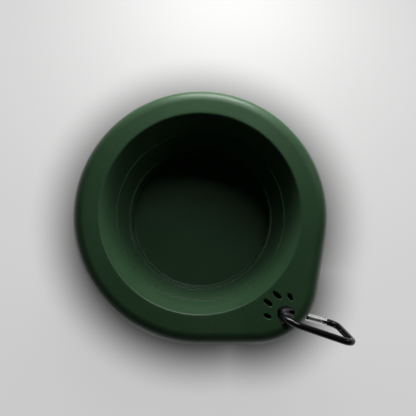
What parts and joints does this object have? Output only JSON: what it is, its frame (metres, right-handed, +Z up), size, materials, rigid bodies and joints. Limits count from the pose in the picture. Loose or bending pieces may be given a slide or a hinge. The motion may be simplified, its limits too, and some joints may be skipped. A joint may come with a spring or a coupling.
{
  "type": "collapsible silicone bowl",
  "caption": "Round collapsible silicone bowl with a wide rounded rim, a corner tab with a paw cut-out, and a small spring-gate clip through the tab.",
  "frame": {"origin": "on the bowl's axis, at the flat underside of its base", "axes": "+Z up along the bowl's axis, out of its opening; the tab points between +X and -Y"},
  "size_m": [0.1416, 0.1302, 0.0602],
  "materials": {
    "silicone": "satin moulded silicone, dark green",
    "core_plastic": "matt moulded plastic, black",
    "clip_black": "gloss black coating",
    "gate_bright": "bright plated",
    "pin_steel": "plain steel"
  },
  "bodies": {
    "base": {"floor_disc": "silicone", "lower_wall": "silicone", "lower_fold": "silicone", "middle_wall": "silicone"},
    "rim": {"upper_fold": "silicone", "upper_wall": "silicone", "rim_cover": "silicone", "rim_core": "core_plastic"},
    "clip": {"clip_frame": "clip_black"},
    "gate": {"clip_gate": "gate_bright", "gate_rivet": "pin_steel", "latch_pin": "pin_steel", "gate_spring": "pin_steel", "gate_plunger": "pin_steel"}
  },
  "joints": [
    {"name": "collapse", "type": "slide", "parent": "base", "child": "rim", "axis": [0, 0, -1], "range_m": [0, 0.034], "deforming": ["middle_wall"]},
    {"name": "clip_swing", "type": "hinge", "parent": "rim", "child": "clip", "pos_m": [0.05018, -0.05344, 0.048], "axis": [0.3095, 0.9196, 0.2419], "range_deg": [-50, 90]},
    {"name": "gate_open", "type": "hinge", "parent": "clip", "child": "gate", "pos_m": [0.05329, -0.05174, 0.03757], "axis": [-0.3095, -0.9196, -0.2419], "range_deg": [0, 20], "stiffness_Nm_per_rad": 0.02, "springref_deg": -11.46}
  ]
}
